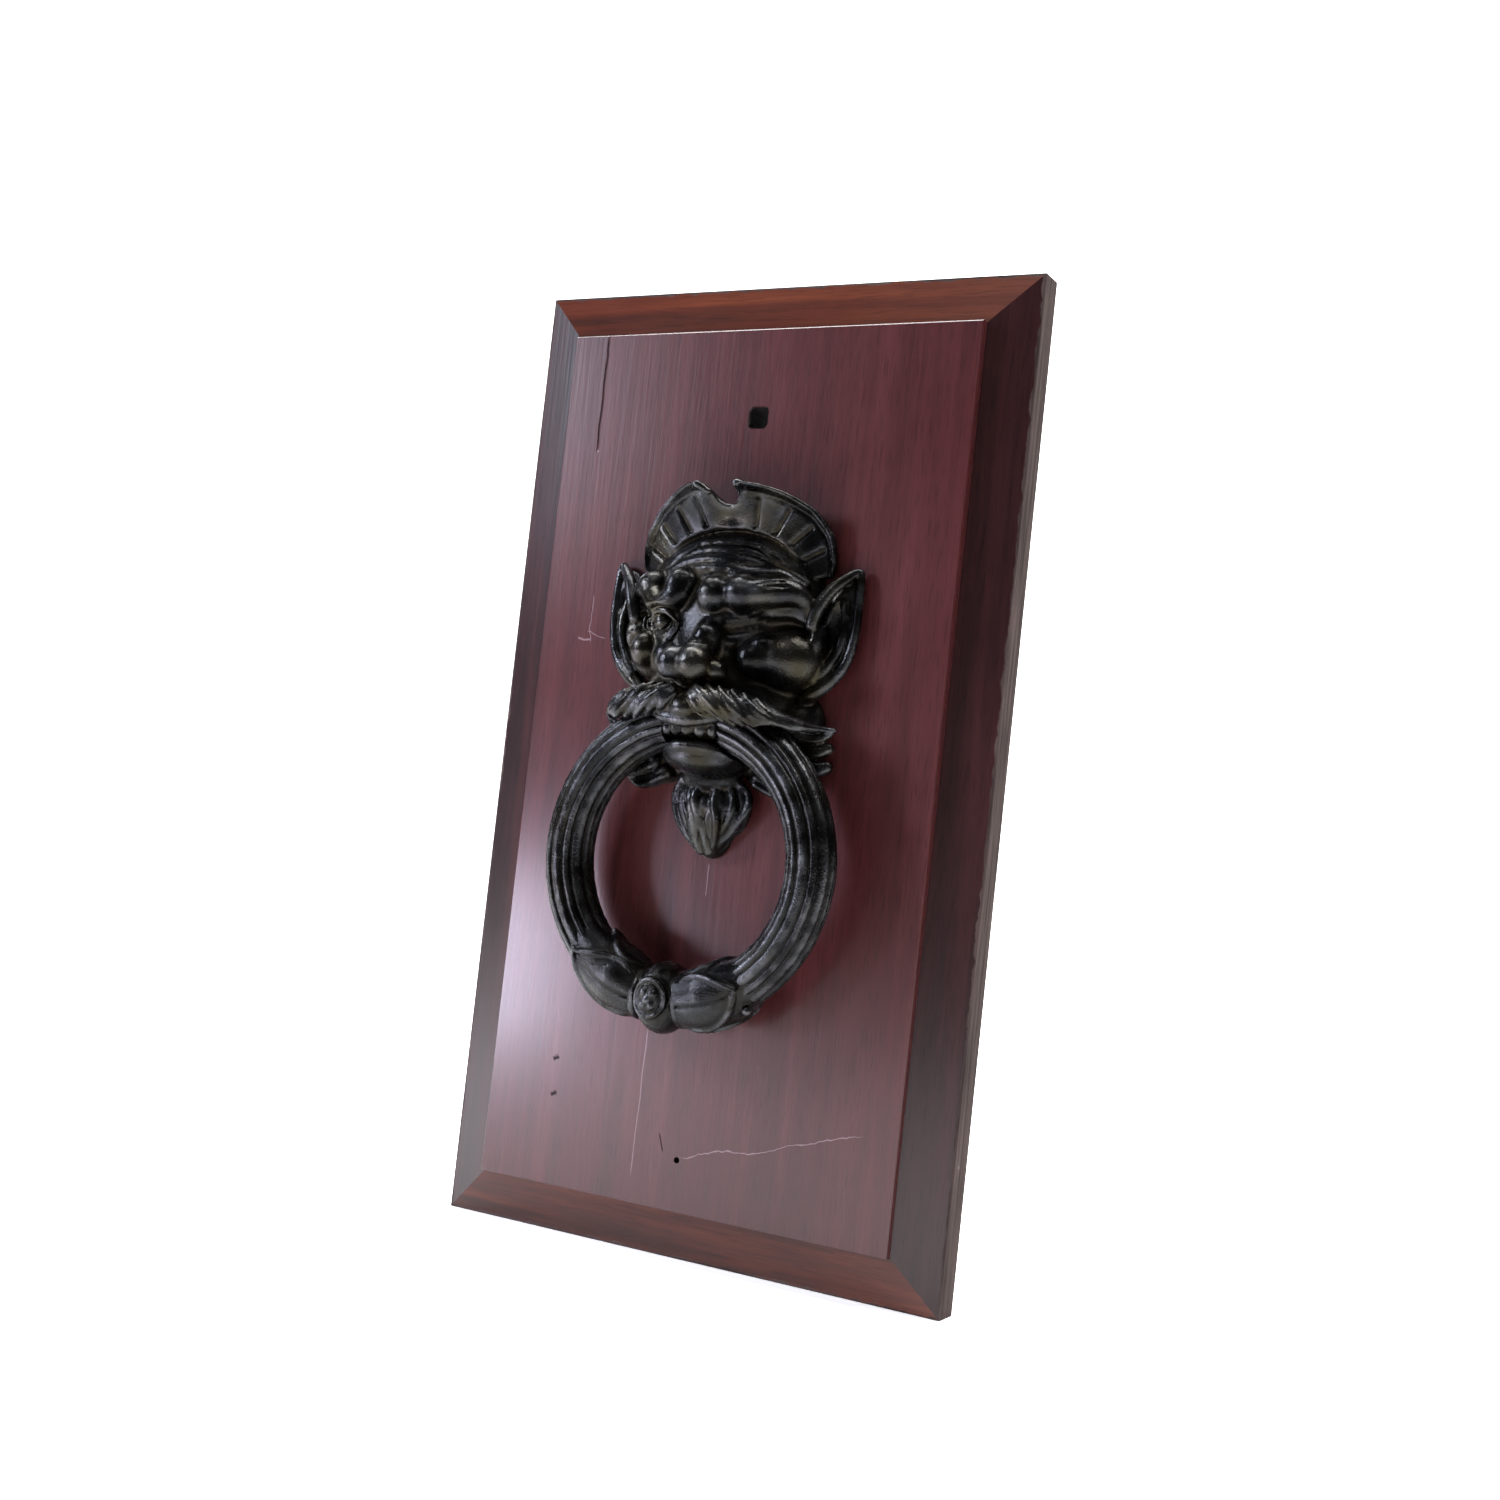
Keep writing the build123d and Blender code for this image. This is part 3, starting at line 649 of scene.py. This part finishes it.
def reeded_bar():
    """The ring's bar, drawn round its circle from end to end, with wide and narrow reeds in turn."""
    gap_angle = math.asin(RING_GAP_HALF / RING_RADIUS)
    stations = 300
    per_reed = 11
    along = np.linspace(gap_angle, 2 * math.pi - gap_angle, stations)
    widths = []
    pitch = 2 * math.pi / REEDS
    for n in range(REEDS):
        widths.append(pitch * (1.2 if n % 2 else 0.83))
    start = -widths[0] / 2
    section = []
    for width in widths:
        for step in range(per_reed):
            u = -1 + 2 * step / per_reed
            reach = BAR_RADIUS - 1.7 * abs(u) ** 2.8
            section.append((start + width * (u + 1) / 2, reach, 0.95 - 1.1 * abs(u), abs(u) ** 4))
        start += width
    angle, reach, rubbed, crevice = np.array(section).T
    rng = np.random.default_rng(3)
    wobble = rng.normal(0, 0.2, (stations, len(angle)))
    for axis in (0, 1):
        wobble = (np.roll(wobble, 1, axis) + wobble + np.roll(wobble, -1, axis)) / 3
    ring_reach = RING_RADIUS + (reach + wobble) * np.cos(angle)
    deep = (reach + wobble) * np.sin(angle)
    points = np.stack(
        [
            ring_reach * np.sin(along)[:, None],
            PANEL_FACE - (PIVOT_OUT + deep),
            RING_Z + ring_reach * np.cos(along)[:, None],
        ],
        -1,
    )
    points[0, :, 0] = RING_GAP_HALF
    points[-1, :, 0] = -RING_GAP_HALF
    count = len(angle)
    faces = []
    for n in range(stations - 1):
        for m in range(count):
            after = (m + 1) % count
            faces.append((n * count + m, n * count + after, (n + 1) * count + after, (n + 1) * count + m))
    faces.append(list(range(count))[::-1])
    faces.append([(stations - 1) * count + m for m in range(count)])
    return points.reshape(-1, 3), faces, [np.tile(np.clip(v, 0, 1), stations) for v in (rubbed, crevice)]


def round_the_bar(turn, spin, lift):
    """A place on the foot: turn degrees along the ring from its lowest point, spin degrees round the bar from
    its front, lift from the bar's middle."""
    turn, spin = math.radians(turn), math.radians(spin)
    reach = RING_RADIUS - lift * math.sin(spin)
    return (reach * math.sin(turn), PIVOT_OUT + lift * math.cos(spin), RING_Z - reach * math.cos(turn))


def carve_foot():
    """The ring's foot: a ball with a worn medallion, between two closed buds wrapped in leaves."""
    foot = Pattern((-72, PIVOT_OUT - 22, FOOT_Z - 24), (72, PIVOT_OUT + 22, FOOT_Z + 42), CASTING_STEP * 0.85)
    lean = MEDALLION_TURN
    ball_x, ball_out, ball_z = 13.8, 19.5, 18.8
    ball = egg(round_the_bar(lean, 0, 0), (ball_x, ball_out, ball_z))
    for way, length in ((1, 28), (-1, 32)):
        def along(share):
            return lean + way * (10.5 + share * length)

        shape = ((0, 13), (0.12, 15.6), (0.4, 17.4), (0.7, 16.4), (0.9, 14.4), (1.08, 12.6))
        places = [round_the_bar(along(share), 0, 0) for share, _ in shape]
        foot.add(strand(places, [wide - 0.4 for _, wide in shape]), 0.8)
        reach = [wide for _, wide in shape]
        for centre in (-15, 105, 225):
            edges = {-1: [], 1: []}
            vein = []
            for share in (0.02, 0.15, 0.35, 0.55, 0.75, 0.9, 1.0):
                spread = 56 * math.sin(math.pi * (0.28 + 0.72 * share)) ** 0.8
                lift = np.interp(share, [s for s, _ in shape], reach) + (0.9 if share > 0.85 else 0.1)
                vein.append(round_the_bar(along(share), centre, lift))
                for side, edge in edges.items():
                    edge.append(round_the_bar(along(share * 0.98), centre + side * spread, lift))
            for edge in edges.values():
                foot.add(strand(edge, (0.8, 1.2, 1.3, 1.3, 1.4, 1.5, 1.2)), 1.2)
            foot.carve(strand(vein, (0.6, 0.8, 0.8, 0.7, 0.6, 0.5, 0.3)), 1.2)
        collar = [round_the_bar(along(-0.04), spin, 13.6) for spin in range(0, 361, 30)]
        foot.add(strand(collar, (1.5, 1.5), 4), 0.6)
    foot.add(ball, 0.6)
    x0, _, z0 = round_the_bar(lean, 0, 0)

    def on_ball(x, z, lift):
        out = ball_out * math.sqrt(max(1 - (x / ball_x) ** 2 - (z / ball_z) ** 2, 0))
        return (x0 + x, PIVOT_OUT + out + lift, z0 + z)

    raised = (8.6, 0.4, 1.1, foot.add)
    sunk_inside, sunk_outside = (6.9, 0.5, 0.9, foot.carve), (10.4, 0.5, 0.9, foot.carve)
    for reach, lift, thick, work in (raised, sunk_inside, sunk_outside):
        rim = []
        for turn in range(0, 361, 24):
            angle = math.radians(turn)
            rim.append(on_ball(reach * math.cos(angle), reach * 1.12 * math.sin(angle), lift))
        work(strand(rim, (thick, thick), 3), 0.6)
    worn_relief = ((-2.2, 3.4, 2.0), (2.4, 2.6, 1.8), (0.2, -0.6, 2.2), (-2.6, -3.4, 1.6), (2.8, -3.8, 1.7))
    for x, z, size in worn_relief:
        foot.add(egg(on_ball(x, z, -0.6), (size, 2.2, size * 1.2)), 0.8)
    foot.add(egg(round_the_bar(lean + 37, -62, 16.6), (2.6, 2.4, 2.4)), 1.5)
    return foot


def make_ring():
    """The ring: its reeded bar and the carved foot, one casting."""
    bar_points, bar_faces, bar_wear = reeded_bar()
    bar = new_piece("knocker_ring_reeded", bar_points, bar_faces)
    foot = cast_piece("ring_foot", carve_foot())
    mesh = bmesh.new()
    mesh.from_mesh(foot.data)
    drop_loose_bits(mesh)
    mesh.to_mesh(foot.data)
    mesh.free()
    for label, values in zip(("rubbed", "crevice"), bar_wear):
        layer = bar.data.attributes.new(label, "FLOAT", "POINT")
        layer.data.foreach_set("value", values.astype(np.float32))
    both = [bar, foot]
    with bpy.context.temp_override(active_object=bar, selected_editable_objects=both, selected_objects=both):
        bpy.ops.object.join()
    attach(bar, "ring")
    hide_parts("knocker_ring")
    return bar


# ---------------------------------------------------------------- finishes

def colour(code):
    """An sRGB hex colour as the linear one a shader takes."""
    parts = [int(code[n : n + 2], 16) / 255 for n in (1, 3, 5)]
    parts = [p / 12.92 if p <= 0.04045 else ((p + 0.055) / 1.055) ** 2.4 for p in parts]
    return (*parts, 1.0)


COLOURS = {"data_type": "RGBA"}


def add(tree, kind, settings=None, inputs=None, stops=None):
    """Adds a node with its settings (or the name of its operation), its inputs, and the stops of its ramp if
    it has one. A node given as an input stands for its first output."""
    made = tree.nodes.new("ShaderNode" + kind)
    if isinstance(settings, str):
        settings = {"operation": settings}
    for name, value in (settings or {}).items():
        setattr(made, name, value)
    for socket, value in (inputs or {}).items():
        if isinstance(value, bpy.types.Node):
            value = value.outputs[0]
        if isinstance(value, bpy.types.NodeSocket):
            tree.links.new(value, made.inputs[socket])
        else:
            made.inputs[socket].default_value = value
    if stops:
        ramp = made.color_ramp
        while len(ramp.elements) < len(stops):
            ramp.elements.new(0.5)
        for element, (place, shade) in zip(ramp.elements, stops):
            element.position = place
            element.color = shade if isinstance(shade, tuple) else (shade, shade, shade, 1)
    return made


def new_finish(name, settings):
    """A new material and its shader, with the values that hold all over the surface set on the shader."""
    material = bpy.data.materials.new(name)
    material.use_nodes = True
    tree = material.node_tree
    shader = tree.nodes["Principled BSDF"]
    for socket, value in settings.items():
        shader.inputs[socket].default_value = value
    return material, tree, shader


def black_cast_iron(name, rubbed_share, dust_share, pitting):
    """Sand-cast iron, blackened and waxed: pitted like the sand it was cast in, grey where hands rub it, with
    dull olive dust in the creases."""
    material, tree, shader = new_finish(name, {"Metallic": 0.85})
    place = add(tree, "TexCoord").outputs["Object"]
    # sand grains of about 1 mm, and cloudier patches of about 12 mm
    grit = add(tree, "TexNoise", inputs={"Vector": place, "Scale": 900.0, "Detail": 3.0})
    cloud = add(tree, "TexNoise", inputs={"Vector": place, "Scale": 85.0, "Detail": 5.0})
    rubbed = add(tree, "Attribute", {"attribute_name": "rubbed"})
    crevice = add(tree, "Attribute", {"attribute_name": "crevice"})
    # a brown bloom in patches of about 30 mm
    bloom = add(tree, "TexNoise", inputs={"Vector": place, "Scale": 33.0, "Detail": 2.0})
    bloom = add(tree, "MapRange", {}, {0: bloom.outputs["Fac"], 1: 0.46, 2: 0.68, 4: dust_share})
    black = add(tree, "Mix", COLOURS, {"Factor": bloom, 6: colour("#141415"), 7: colour("#35301F")})
    patchy = add(tree, "Math", "MULTIPLY_ADD", {0: cloud.outputs["Fac"], 1: 2.2, 2: -0.85})
    clamped_product = {"operation": "MULTIPLY", "use_clamp": True}
    wear = add(tree, "Math", clamped_product, {0: rubbed.outputs["Fac"], 1: patchy})
    wear = add(tree, "Math", clamped_product, {0: wear, 1: rubbed_share})
    bare = add(tree, "Mix", COLOURS, {"Factor": wear, 6: black.outputs[2], 7: colour("#737477")})
    high_dust = add(tree, "Math", "MULTIPLY_ADD", {0: cloud.outputs["Fac"], 1: 2.4, 2: -0.7})
    dust = add(tree, "Math", clamped_product, {0: crevice.outputs["Fac"], 1: high_dust})
    dust = add(tree, "Math", clamped_product, {0: dust, 1: dust_share})
    skin = add(tree, "Mix", COLOURS, {"Factor": dust, 6: bare.outputs[2], 7: colour("#3B3323")})
    tree.links.new(skin.outputs[2], shader.inputs["Base Color"])
    sheen = add(tree, "Math", "MULTIPLY_ADD", {0: cloud.outputs["Fac"], 1: 0.25, 2: 0.13})
    dull = add(tree, "Math", {"operation": "MULTIPLY_ADD", "use_clamp": True}, {0: dust, 1: 0.5, 2: sheen})
    tree.links.new(dull.outputs[0], shader.inputs["Roughness"])
    grain = add(tree, "Bump", inputs={"Height": grit.outputs["Fac"], "Strength": pitting, "Distance": 0.0005})
    dents = add(tree, "Bump", inputs={
        "Height": cloud.outputs["Fac"], "Strength": 0.3, "Distance": 0.0015, "Normal": grain,
    })
    tree.links.new(dents.outputs["Normal"], shader.inputs["Normal"])
    return material


# what years of use left on the panel: the two ends of each mark, its width and how far it wanders
CRACKS = (
    ((-101, 236), (-101, 168), 1.7, 1.2),
    ((-12, -196), (-9, -205), 1.0, 0.8),
    ((-80, -166), (-84, -168), 3.0, 1.0),
    ((-79, -185), (-83, -187), 3.2, 1.0),
)
SCRATCHES = (
    ((-2, -208), (106, -178), 0.7, 5.0),
    ((-26, -140), (-27, -222), 0.7, 1.0),
    ((0, -52), (0, -70), 0.7, 0.6),
    ((-91, 61), (-92, 88), 0.8, 5.0),
    ((-93, 68), (-81, 64), 0.8, 4.0),
    ((-99, 63), (-91, 63), 1.6, 3.0),
)


def worn_outer_edge(tree, place):
    """1 on the moulding's sawn outer sides and where their front arris is chipped, 0 elsewhere."""
    # chips of about 8 mm along the edge
    noise = add(tree, "TexNoise", inputs={"Vector": place, "Scale": 120.0, "Detail": 4.0}).outputs["Fac"]
    parts = add(tree, "SeparateXYZ", inputs={0: place})
    past = []
    for axis, half in (("X", cad_box[1][0]), ("Z", cad_box[1][2])):
        away = add(tree, "Math", "ABSOLUTE", {0: parts.outputs[axis]})
        past.append(add(tree, "Math", "SUBTRACT", {0: away, 1: half}).outputs[0])
    past = add(tree, "Math", "MAXIMUM", {0: past[0], 1: past[1]})
    ragged = add(tree, "Math", "MULTIPLY_ADD", {0: noise, 1: 5.0 * MM, 2: past})
    smooth = {"interpolation_type": "SMOOTHSTEP"}
    return add(tree, "MapRange", smooth, {0: ragged, 1: 0.9 * MM, 2: 1.7 * MM}).outputs[0]


def hole_wall_shade(tree, place):
    """1 on the walls of the panel's two holes, which are painted near-black as shade, 0 elsewhere."""
    found = None
    for mount, reach in (("bolt_hole", 9.0), ("lower_screw_hole", 2.4)):
        spot = next(m for m in frame["record"]["mounts"] if m["name"] == mount)["pos_m"]
        flat = add(tree, "Mapping", inputs={0: place, 1: (-spot[0], 0, -spot[2]), 3: (1, 0, 1)})
        near = add(tree, "VectorMath", "LENGTH", {0: flat})
        near = add(tree, "Math", "LESS_THAN", {0: near.outputs["Value"], 1: reach * MM})
        found = near if found is None else add(tree, "Math", "MAXIMUM", {0: found, 1: near})
    depth = add(tree, "SeparateXYZ", inputs={0: place})
    deep = add(
        tree, "MapRange", {}, {0: depth.outputs["Y"], 1: (PANEL_FACE + 0.1) * MM, 2: (PANEL_FACE + 2.5) * MM}
    )
    return add(tree, "Math", "MULTIPLY", {0: found, 1: deep}).outputs[0]


def scratches(tree, place, marks):
    """How deep a scratch or crack is at each place, from 0 to 1. Each mark is the two ends of a line, its
    width and how far it wanders, all in millimetres on the board's face."""
    wander = add(tree, "TexNoise", inputs={"Vector": place, "Scale": 60.0, "Detail": 3.0})
    off = add(tree, "VectorMath", "SUBTRACT", {0: wander.outputs["Color"], 1: (0.5, 0.5, 0.5)})
    total = None
    for (x1, z1), (x2, z2), width, drift in marks:
        reach = (2 * drift * MM,) * 3
        bent = add(tree, "VectorMath", "MULTIPLY_ADD", {0: off, 1: reach, 2: place})
        length = math.hypot(x2 - x1, z2 - z1)
        turn = math.atan2(x2 - x1, z2 - z1)
        middle = ((x1 + x2) / 2 * MM, 0, (z1 + z2) / 2 * MM)
        moved = add(tree, "VectorMath", "SUBTRACT", {0: bent, 1: middle})
        spun = add(tree, "VectorRotate", {"rotation_type": "Y_AXIS"}, {"Vector": moved, "Angle": -turn})
        parts = add(tree, "SeparateXYZ", inputs={0: spun})
        across = add(tree, "Math", "ABSOLUTE", {0: parts.outputs["X"]})
        across = add(tree, "MapRange", {}, {0: across, 1: width / 2 * MM, 2: 0.0})
        down = add(tree, "Math", "ABSOLUTE", {0: parts.outputs["Z"]})
        down = add(tree, "MapRange", {}, {0: down, 1: length / 2 * MM, 2: length * 0.42 * MM})
        mark = add(tree, "Math", "MULTIPLY", {0: across, 1: down})
        total = mark if total is None else add(tree, "Math", "MAXIMUM", {0: total, 1: mark})
    depth = add(tree, "SeparateXYZ", inputs={0: place})
    front = add(
        tree, "MapRange", {}, {0: depth.outputs["Y"], 1: (PANEL_FACE + 1.0) * MM, 2: (PANEL_FACE + 0.5) * MM}
    )
    return add(tree, "Math", "MULTIPLY", {0: total, 1: front}).outputs[0]


def polished_mahogany(name, shades, along, polish, part=None):
    """French-polished mahogany: straight grain with short dark pores, a cloudy figure and a shellac gloss
    that handling has dulled. part is "panel" for cracks, scratches and painted shade on the hole walls, or
    "moulding" for bare edges."""
    material, tree, shader = new_finish(name, {"Coat Roughness": 0.2, "IOR": 1.5, "Specular IOR Level": 0.22})
    place = add(tree, "TexCoord").outputs["Object"]
    stretch = [1.0, 1.0, 1.0]
    stretch["xyz".index(along)] = 0.045
    grain_place = add(tree, "Mapping", inputs={"Vector": place, "Scale": stretch})
    # growth bands of about 12 mm, streaks of about 2.5 mm, pores of about 0.8 mm
    bands = add(tree, "TexNoise", inputs={
        "Vector": grain_place, "Scale": 85.0, "Detail": 4.0, "Distortion": 0.6,
    })
    streaks = add(tree, "TexNoise", inputs={"Vector": grain_place, "Scale": 420.0, "Detail": 3.0})
    pores = add(tree, "TexNoise", inputs={"Vector": grain_place, "Scale": 1300.0, "Detail": 2.0})
    blotch = add(tree, "TexNoise", inputs={"Vector": place, "Scale": 9.0, "Detail": 3.0})
    tone = add(tree, "Math", "MULTIPLY_ADD", {0: streaks.outputs["Fac"], 1: 0.25, 2: -0.12})
    tone = add(tree, "Math", "ADD", {0: bands.outputs["Fac"], 1: tone})
    shift = add(tree, "Math", "MULTIPLY_ADD", {0: blotch.outputs["Fac"], 1: 0.5, 2: -0.25})
    tone = add(tree, "Math", "ADD", {0: tone, 1: shift})
    stops = [(0.28 + 0.22 * n, colour(s)) for n, s in enumerate(shades)]
    wood = add(tree, "ValToRGB", inputs={"Fac": tone}, stops=stops)
    dark_pores = add(tree, "ValToRGB", inputs={"Fac": pores.outputs["Fac"]}, stops=[(0.36, 0.5), (0.46, 1.0)])
    darken = {"data_type": "RGBA", "blend_type": "MULTIPLY"}
    skin = add(tree, "Mix", darken, {"Factor": 0.6, 6: wood, 7: dark_pores}).outputs[2]
    rough = add(tree, "Math", "MULTIPLY_ADD", {0: blotch.outputs["Fac"], 1: 0.2, 2: 0.22}).outputs[0]
    height = add(tree, "Math", "MULTIPLY_ADD", {0: pores.outputs["Fac"], 1: 0.3, 2: streaks.outputs["Fac"]})
    bump = add(tree, "Bump", inputs={"Height": height, "Strength": 0.12, "Distance": 0.0007})
    shader.inputs["Coat Weight"].default_value = polish
    if part == "moulding":
        bare = worn_outer_edge(tree, place)
        raw_shades = [(0.35, colour("#2E2422")), (0.65, colour("#4F423F"))]
        raw = add(tree, "ValToRGB", inputs={"Fac": streaks.outputs["Fac"]}, stops=raw_shades)
        skin = add(tree, "Mix", COLOURS, {"Factor": bare, 6: skin, 7: raw.outputs["Color"]}).outputs[2]
        rough = add(tree, "Math", "MAXIMUM", {0: rough, 1: bare}).outputs[0]
        sealed = add(tree, "Math", "MULTIPLY_ADD", {0: bare, 1: -polish, 2: polish})
        tree.links.new(sealed.outputs[0], shader.inputs["Coat Weight"])
    if part == "panel":
        dark = scratches(tree, place, CRACKS)
        pale = scratches(tree, place, SCRATCHES)
        # the walls of the two holes get painted shade: near-black, as if no light reaches in
        hole = hole_wall_shade(tree, place)
        skin = add(tree, "Mix", COLOURS, {"Factor": pale, 6: skin, 7: colour("#7F686D")}).outputs[2]
        # near-black for the real cracks, and near-black painted shade on the hole walls
        gone = add(tree, "Math", "MAXIMUM", {0: dark, 1: hole})
        skin = add(tree, "Mix", COLOURS, {"Factor": gone, 6: skin, 7: colour("#0B0505")}).outputs[2]
        rough = add(tree, "Math", "MAXIMUM", {0: rough, 1: gone}).outputs[0]
        sealed = add(tree, "Math", "MULTIPLY_ADD", {0: gone, 1: -polish, 2: polish})
        tree.links.new(sealed.outputs[0], shader.inputs["Coat Weight"])
        bump = add(tree, "Bump", {"invert": True}, {
            "Height": dark, "Strength": 0.8, "Distance": 0.001, "Normal": bump,
        })
    tree.links.new(skin, shader.inputs["Base Color"])
    tree.links.new(rough, shader.inputs["Roughness"])
    tree.links.new(bump.outputs["Normal"], shader.inputs["Normal"])
    return material


def old_steel(name, shade, rough):
    """Mild steel that has gone dull: fine marks all over it and a thin brown bloom."""
    material, tree, shader = new_finish(name, {"Metallic": 1.0})
    place = add(tree, "TexCoord").outputs["Object"]
    bloom = add(tree, "TexNoise", inputs={"Vector": place, "Scale": 260.0, "Detail": 4.0})
    stops = [(0.38, colour("#5B4636")), (0.58, colour(shade))]
    tint = add(tree, "ValToRGB", inputs={"Fac": bloom.outputs["Fac"]}, stops=stops)
    tree.links.new(tint.outputs["Color"], shader.inputs["Base Color"])
    spread = add(tree, "Math", "MULTIPLY_ADD", {0: bloom.outputs["Fac"], 1: 0.3, 2: rough - 0.15})
    tree.links.new(spread.outputs[0], shader.inputs["Roughness"])
    marks = add(tree, "TexNoise", inputs={"Vector": place, "Scale": 1500.0, "Detail": 2.0})
    bump = add(tree, "Bump", inputs={"Height": marks.outputs["Fac"], "Strength": 0.2, "Distance": 0.0002})
    tree.links.new(bump.outputs["Normal"], shader.inputs["Normal"])
    return material


def give(node, *materials):
    """Puts materials in a CAD node's slots."""
    piece = frame["nodes"][node]
    piece.data.materials.clear()
    for material in materials:
        piece.data.materials.append(material)


# the woods from the dark of their grain to the light
PANEL_SHADES = ("#3A191A", "#431D1E", "#4C2324", "#552A2B")
UPRIGHT_SHADES = ("#1E1011", "#2B1516", "#351A1B", "#402122")
RAIL_SHADES = ("#33150D", "#4A1F13", "#5A2918", "#6E371F")
BEECH_SHADES = ("#8C6A47", "#9C7850", "#AB875E", "#B8956B")


def finish_everything(mask, ring):
    """Gives every piece its finish."""
    mask.data.materials.append(black_cast_iron("black_cast_iron_mask", 0.5, 0.6, 0.45))
    ring.data.materials.clear()
    ring.data.materials.append(black_cast_iron("black_cast_iron_ring", 0.75, 0.2, 0.6))
    give("raised_panel", polished_mahogany("polished_mahogany_panel", PANEL_SHADES, "z", 0.5, "panel"))
    upright = polished_mahogany("stained_mahogany_upright", UPRIGHT_SHADES, "z", 0.4, "moulding")
    across = polished_mahogany("stained_mahogany_rail", RAIL_SHADES, "x", 0.4, "moulding")
    give("left_border", upright)
    give("right_border", upright)
    give("top_border", across)
    give("bottom_border", across)
    give("mitre_splines", polished_mahogany("bare_beech_spline", BEECH_SHADES, "y", 0.0))
    give("pivot_pin", old_steel("drawn_steel_pin", "#8A8A88", 0.35))
    fixing = old_steel("old_steel_fixings", "#97948C", 0.45)
    for node in ("mask_studs", "stud_washers", "stud_nuts"):
        give(node, fixing)
    give("anvil_stud", old_steel("hammered_iron_nail", "#55565A", 0.3))


# ---------------------------------------------------------------- room, light and camera

def make_room():
    """A pale floor that sweeps up into a pale wall, far enough back to stay out of the way."""
    floor_z = cad_box[0][2] / MM - 0.2
    flat_end, sweep = 1500, 900
    profile = [(-1150, floor_z), (flat_end, floor_z)]
    for turn in range(10, 91, 10):
        angle = math.radians(turn)
        profile.append((flat_end + sweep * math.sin(angle), floor_z + sweep * (1 - math.cos(angle))))
    profile.append((flat_end + sweep, 5200))
    points, faces = [], []
    for y, z in profile:
        points += [(-5200, y, z), (5200, y, z)]
    for n in range(len(profile) - 1):
        faces.append((2 * n, 2 * n + 1, 2 * n + 3, 2 * n + 2))
    room = new_piece("pale_floor", points, faces)
    paper = {"Base Color": colour("#F4F4F4"), "Roughness": 0.9}
    glow = {"Emission Color": colour("#FFFFFF"), "Emission Strength": 0.5}
    room.data.materials.append(new_finish("pale_paper", {**paper, **glow})[0])


def soft_light(name, place, target, size, power, shade="#FFFFFF"):
    """A rectangular softbox."""
    lamp = bpy.data.lights.new(name, "AREA")
    lamp.shape = "RECTANGLE"
    lamp.size, lamp.size_y = (s * MM for s in size)
    lamp.energy = power
    lamp.color = colour(shade)[:3]
    holder = bpy.data.objects.new(name, lamp)
    holder.location = Vector(place) * MM
    aim = (Vector(target) - Vector(place)).normalized()
    holder.rotation_euler = aim.to_track_quat("-Z", "Y").to_euler()
    bpy.context.scene.collection.objects.link(holder)


def make_light():
    """Two soft windows on the left, a faint ceiling in front, and a wash of light down the wall behind."""
    world = bpy.data.worlds.new("soft_daylight")
    bpy.context.scene.world = world
    world.use_nodes = True
    tree = world.node_tree
    back = tree.nodes["Background"]
    back.inputs["Color"].default_value = colour("#EEF1F6")
    # the pale studio beyond the paper is seen, but lights the piece only dimly
    seen = add(tree, "LightPath")
    dim = add(tree, "MapRange", {}, {0: seen.outputs["Is Camera Ray"], 3: 0.06, 4: 1.0})
    tree.links.new(dim.outputs[0], back.inputs["Strength"])
    soft_light("window", (-930, -700, 470), (0, 0, 0), (200, 280), 15, "#E6ECFF")
    soft_light("low_window", (-640, -640, -170), (0, 0, -100), (240, 170), 3.6, "#EAE6FF")
    soft_light("ceiling", (-60, -1000, 1250), (0, 0, 0), (260, 260), 3, "#FFFFFF")
    soft_light("wall_wash", (0, 300, 2600), (0, 2200, -200), (3600, 1200), 240)
    bpy.context.scene.view_settings.view_transform = "Standard"


def make_camera():
    """A camera a metre off, to the right of the board and just below its middle, rolled a little."""
    eye = Vector((493.45, -885.45, -40.19)) * MM
    target = Vector((17.0, -27.6, 9.15)) * MM
    lens = bpy.data.cameras.new("camera")
    lens.lens = 45.0
    lens.sensor_width = 36.0
    lens.clip_start = 0.01
    holder = bpy.data.objects.new("camera", lens)
    facing = (target - eye).to_track_quat("-Z", "Y").to_matrix().to_4x4()
    holder.matrix_world = Matrix.Translation(eye) @ facing @ Matrix.Rotation(math.radians(6.25), 4, "Z")
    bpy.context.scene.collection.objects.link(holder)
    bpy.context.scene.camera = holder


mask = make_mask()
ring = make_ring()
finish_everything(mask, ring)
make_room()
make_light()
make_camera()
